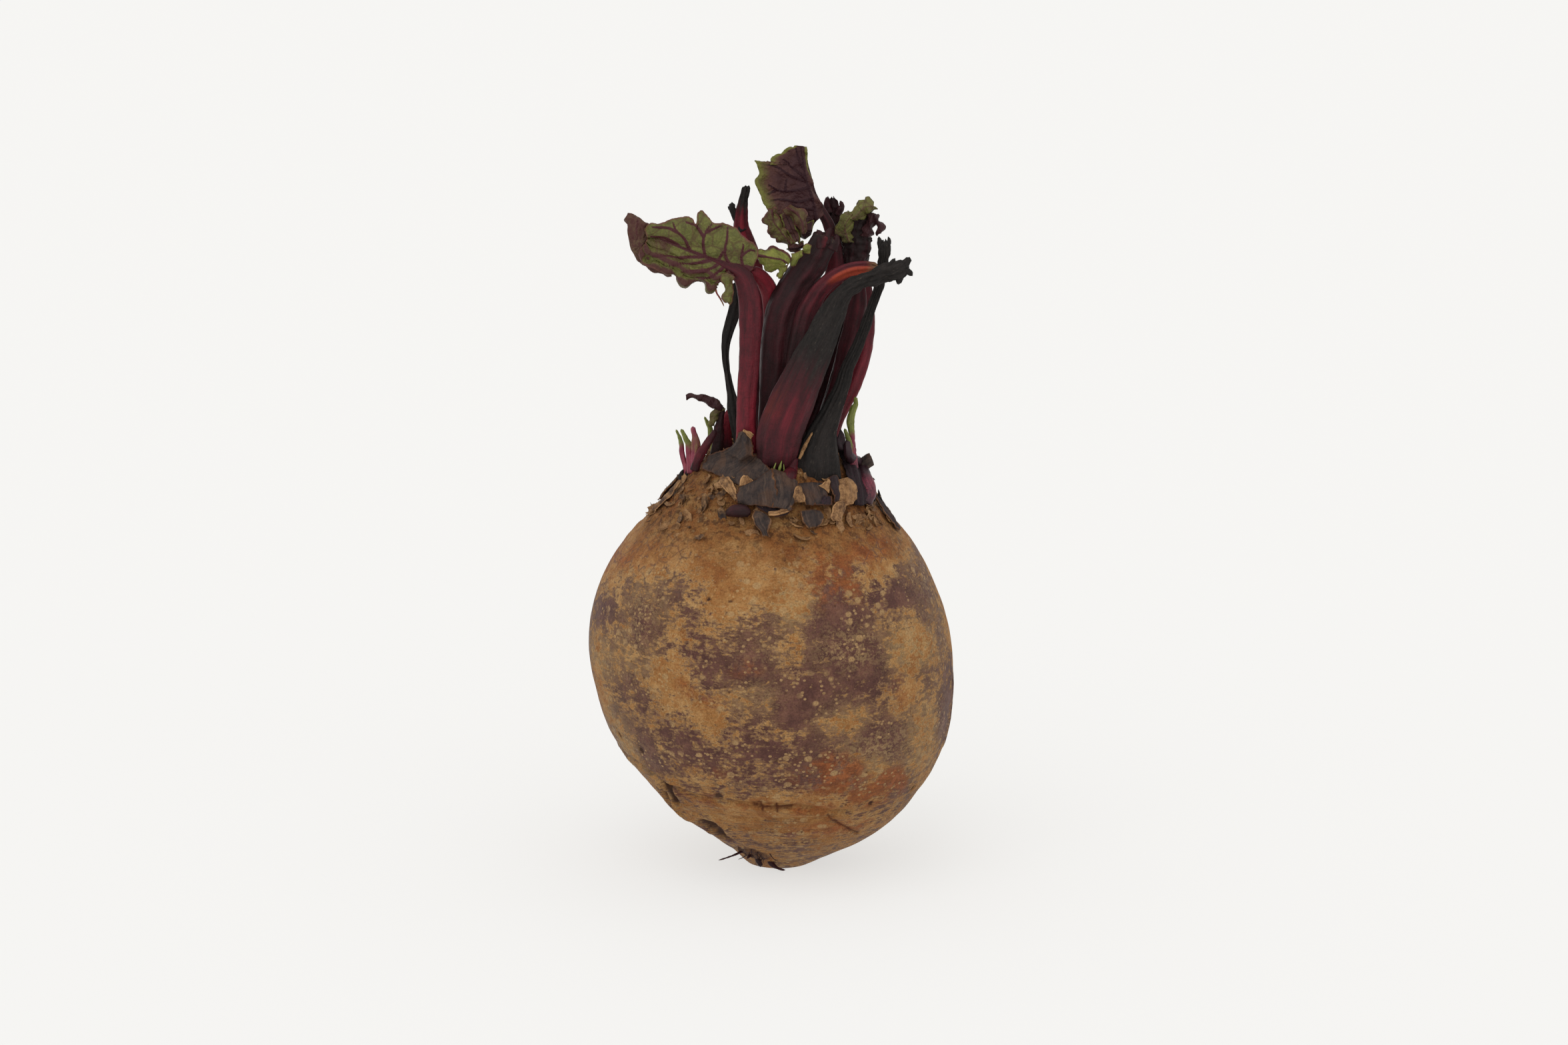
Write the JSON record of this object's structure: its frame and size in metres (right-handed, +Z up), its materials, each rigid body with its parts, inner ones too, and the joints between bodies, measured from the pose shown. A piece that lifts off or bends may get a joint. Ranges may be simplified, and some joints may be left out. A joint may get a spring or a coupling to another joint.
{
  "type": "beetroot",
  "caption": "Round mature beetroot standing on a small flat spot, with a scaly crown, upright leaf stalks and a few small wilted leaves.",
  "frame": {"origin": "centre of the small flat spot under the root, on the surface it rests on", "axes": "+Z up through the crown and the leaf stalks; -Y is the front; +X to the right seen from the front"},
  "size_m": [0.0884, 0.0854, 0.1782],
  "materials": {
    "root_skin": "matte corky tan skin over plum skin",
    "red_stalk": "satin ribbed crimson stalk",
    "purple_stalk": "satin dark maroon stalk",
    "wilted_stalk": "matte wrinkled black-green stalk",
    "green_blade": "satin green blade with purple veins",
    "purple_blade": "satin maroon blade with dark veins",
    "dried_sheath": "matte papery grey-brown",
    "pale_scale": "matte papery tan",
    "green_shoot": "satin yellow-green",
    "pink_shoot": "satin pink with green tip",
    "rootlet": "matte dark brown-purple"
  },
  "bodies": {
    "root": {"root": "root_skin", "stalk_centre": "purple_stalk", "stalk_right_thin": "wilted_stalk", "stalk_centre_red": "red_stalk", "stalk_left": "red_stalk", "stalk_centre_left": "purple_stalk", "stalk_behind_left": "red_stalk", "stalk_right_outer": "red_stalk", "stalk_right_inner": "red_stalk", "stalk_top": "red_stalk", "stalk_back_right": "purple_stalk", "stalk_back_left": "purple_stalk", "stalk_ribbon": "wilted_stalk", "stalk_tip": "wilted_stalk", "leaf_left": "green_blade", "leaf_curl": "green_blade", "leaf_top": "purple_blade", "leaf_right": "purple_blade", "sheath_left": "dried_sheath", "sheath_front": "dried_sheath", "sheath_right": "dried_sheath", "sheath_back_left": "dried_sheath", "sheath_back_right": "dried_sheath", "bud_left": "red_stalk", "bud_right": "red_stalk", "shoot_right_green": "green_shoot", "shoot_right_small": "green_shoot", "stub_right": "dried_sheath", "hook_right": "wilted_stalk", "spike_right": "wilted_stalk", "shoot_left_outer": "pink_shoot", "shoot_left_middle": "pink_shoot", "shoot_left_inner": "pink_shoot", "shoot_left_dark": "purple_stalk", "shoot_left_leafy": "wilted_stalk", "shoot_left_red": "red_stalk", "shoot_back": "red_stalk", "shoot_back_left": "green_shoot", "rootlet_long": "rootlet", "rootlet_short": "rootlet", "rootlet_thick": "rootlet", "rootlet_hooked": "rootlet", "crown_scale_1": "dried_sheath", "crown_scale_2": "pale_scale", "crown_scale_3": "dried_sheath", "crown_scale_4": "dried_sheath", "crown_scale_5": "pale_scale", "crown_scale_6": "dried_sheath", "crown_scale_7": "dried_sheath", "crown_scale_8": "pale_scale", "crown_scale_9": "dried_sheath", "crown_scale_10": "dried_sheath", "crown_scale_11": "pale_scale", "crown_scale_12": "dried_sheath", "crown_scale_13": "dried_sheath", "crown_scale_14": "pale_scale"}
  },
  "joints": []
}
